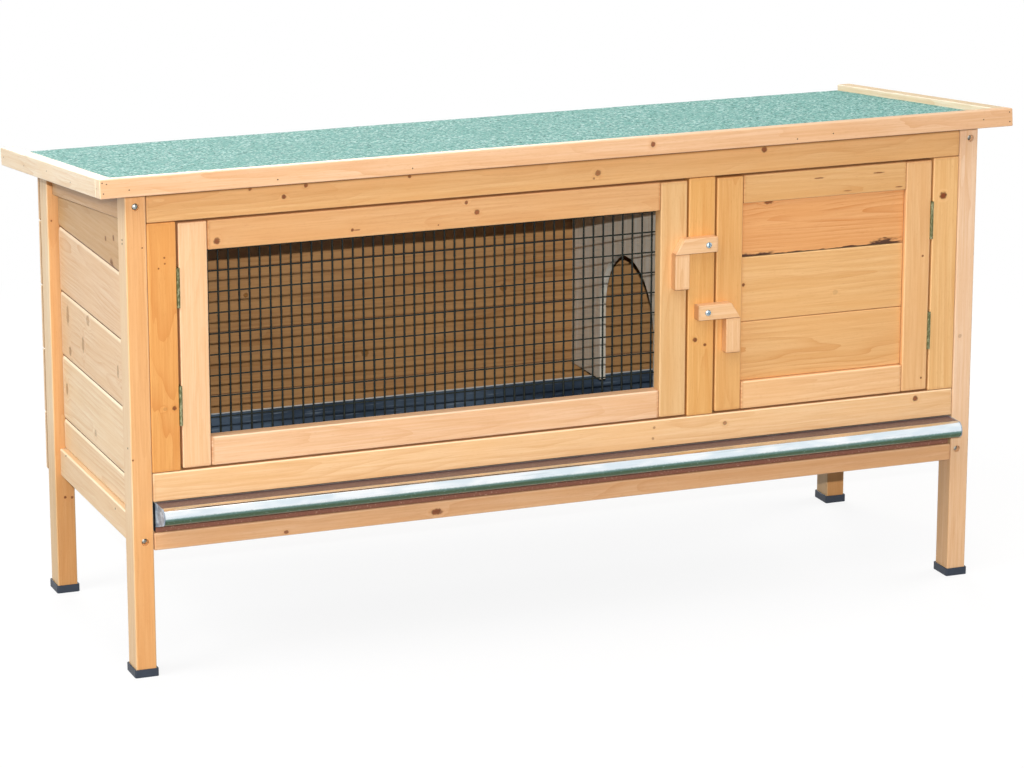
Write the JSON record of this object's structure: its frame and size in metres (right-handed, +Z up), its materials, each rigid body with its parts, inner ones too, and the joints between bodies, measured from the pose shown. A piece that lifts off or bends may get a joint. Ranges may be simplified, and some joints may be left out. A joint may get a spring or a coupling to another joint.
{
  "type": "rabbit hutch",
  "caption": "Raised wooden rabbit hutch with a mesh door, a solid door, wooden turn buttons, a slide-out metal tray and a green felted roof sloping to the back.",
  "frame": {"origin": "on the floor, under the middle of the whole hutch's box, from the tray's nose to the roof's back", "axes": "+X to the right seen from the front, -Y out of the front, +Z up"},
  "size_m": [1.16, 0.4606, 0.6017],
  "materials": {
    "honey_pine": "planed pine, clear lacquer, warm honey",
    "pale_pine": "planed pine, clear lacquer, pale",
    "cream_pine": "planed pine, thin cream stain",
    "amber_pine": "planed pine, clear lacquer, amber",
    "plain_pine": "bare sawn pine",
    "roof_felt": "green mineral roofing felt, rough",
    "cap_rubber": "matt dark moulded",
    "galvanised_sheet": "bright galvanised",
    "net_wire": "dark green coated welded wire",
    "hinge_brass": "plated, slightly dull",
    "screw_steel": "bright plated"
  },
  "bodies": {
    "hutch": {"leg_front_left": "honey_pine", "leg_front_right": "honey_pine", "leg_rear_left": "honey_pine", "leg_rear_right": "honey_pine", "foot_cap_front_left": "cap_rubber", "foot_cap_front_right": "cap_rubber", "foot_cap_rear_left": "cap_rubber", "foot_cap_rear_right": "cap_rubber", "front_top_rail": "honey_pine", "front_lower_rail": "honey_pine", "front_centre_stile": "honey_pine", "front_right_stile": "honey_pine", "front_bottom_rail": "pale_pine", "rear_top_rail": "pale_pine", "rear_bottom_rail": "pale_pine", "front_left_stile": "amber_pine", "left_top_rail": "cream_pine", "left_bottom_rail": "cream_pine", "left_boards": "cream_pine", "tray_runner_left": "plain_pine", "right_top_rail": "cream_pine", "right_bottom_rail": "cream_pine", "right_boards": "cream_pine", "tray_runner_right": "plain_pine", "back_boards": "cream_pine", "partition": "cream_pine", "roof_trim_left": "cream_pine", "roof_trim_right": "cream_pine", "roof_board": "plain_pine", "roof_felt": "roof_felt", "roof_trim_front": "honey_pine", "mesh_door_upper_hinge_frame_leaf": "hinge_brass", "mesh_door_lower_hinge_frame_leaf": "hinge_brass", "mesh_door_button_screw": "screw_steel", "solid_door_upper_hinge_frame_leaf": "hinge_brass", "solid_door_lower_hinge_frame_leaf": "hinge_brass", "solid_door_button_screw": "screw_steel"},
    "mesh_door": {"mesh_door_upper_hinge_door_leaf": "hinge_brass", "mesh_door_lower_hinge_door_leaf": "hinge_brass", "mesh_door_bottom_rail": "pale_pine", "mesh_door_top_rail": "honey_pine", "mesh_door_left_stile": "pale_pine", "mesh_door_right_stile": "pale_pine", "wire_mesh": "net_wire"},
    "mesh_door_button": {"mesh_door_button": "pale_pine"},
    "solid_door": {"solid_door_upper_hinge_door_leaf": "hinge_brass", "solid_door_lower_hinge_door_leaf": "hinge_brass", "solid_door_bottom_rail": "pale_pine", "solid_door_top_rail": "honey_pine", "solid_door_left_stile": "honey_pine", "solid_door_right_stile": "honey_pine", "solid_door_lower_board": "amber_pine", "solid_door_middle_board": "amber_pine", "solid_door_upper_board": "amber_pine"},
    "solid_door_button": {"solid_door_button": "pale_pine"},
    "tray": {"tray_pan": "galvanised_sheet", "tray_nose": "galvanised_sheet", "tray_nose_left_end": "galvanised_sheet", "tray_nose_right_end": "galvanised_sheet"}
  },
  "joints": [
    {"name": "mesh_door_hinge", "type": "hinge", "parent": "hutch", "child": "mesh_door", "pos_m": [-0.48395, -0.19531, 0.39425], "axis": [0, 0, -1], "range_deg": [0, 170]},
    {"name": "solid_door_hinge", "type": "hinge", "parent": "hutch", "child": "solid_door", "pos_m": [0.48395, -0.19531, 0.39425], "axis": [0, 0, 1], "range_deg": [0, 170]},
    {"name": "mesh_door_button_turn", "type": "hinge", "parent": "hutch", "child": "mesh_door_button", "pos_m": [0.17666, -0.20211, 0.4615], "axis": [0, -1, 0], "range_deg": [-180, 90]},
    {"name": "solid_door_button_turn", "type": "hinge", "parent": "hutch", "child": "solid_door_button", "pos_m": [0.17666, -0.20211, 0.3775], "axis": [0, 1, 0], "range_deg": [-90, 120]},
    {"name": "tray_slide", "type": "slide", "parent": "hutch", "child": "tray", "axis": [0, -1, 0], "range_m": [0, 0.3]}
  ]
}
